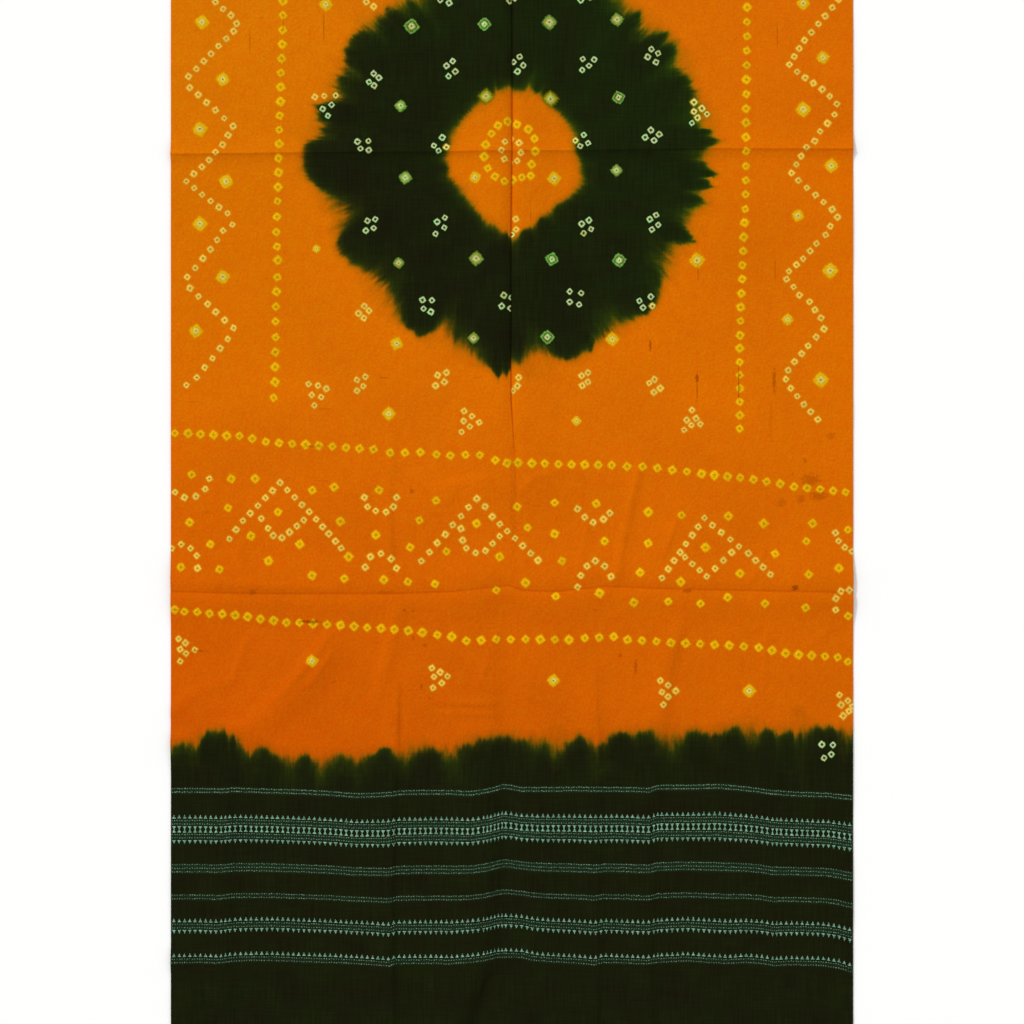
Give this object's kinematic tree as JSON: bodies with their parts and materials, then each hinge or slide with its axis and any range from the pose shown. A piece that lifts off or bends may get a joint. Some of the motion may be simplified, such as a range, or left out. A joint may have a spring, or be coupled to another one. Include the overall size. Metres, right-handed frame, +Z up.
{
  "type": "bandhani cloth length",
  "caption": "Cut length of tie-dyed hand-woven cloth with woven end stripes, lying flat in its creases and soft folds.",
  "frame": {"origin": "on the surface that the cloth lies on, under the middle of its outline", "axes": "+X across the web to the right, +Y along the web towards the dyed medallion, +Z up out of the dyed face"},
  "size_m": [0.6561, 1.0002, 0.0123],
  "materials": {
    "dyed_cotton": "matt plain-woven cotton, dyed orange with dark green fields, undyed tied dots and pale woven stripes"
  },
  "bodies": {
    "root": {"cloth": "dyed_cotton"}
  },
  "joints": []
}
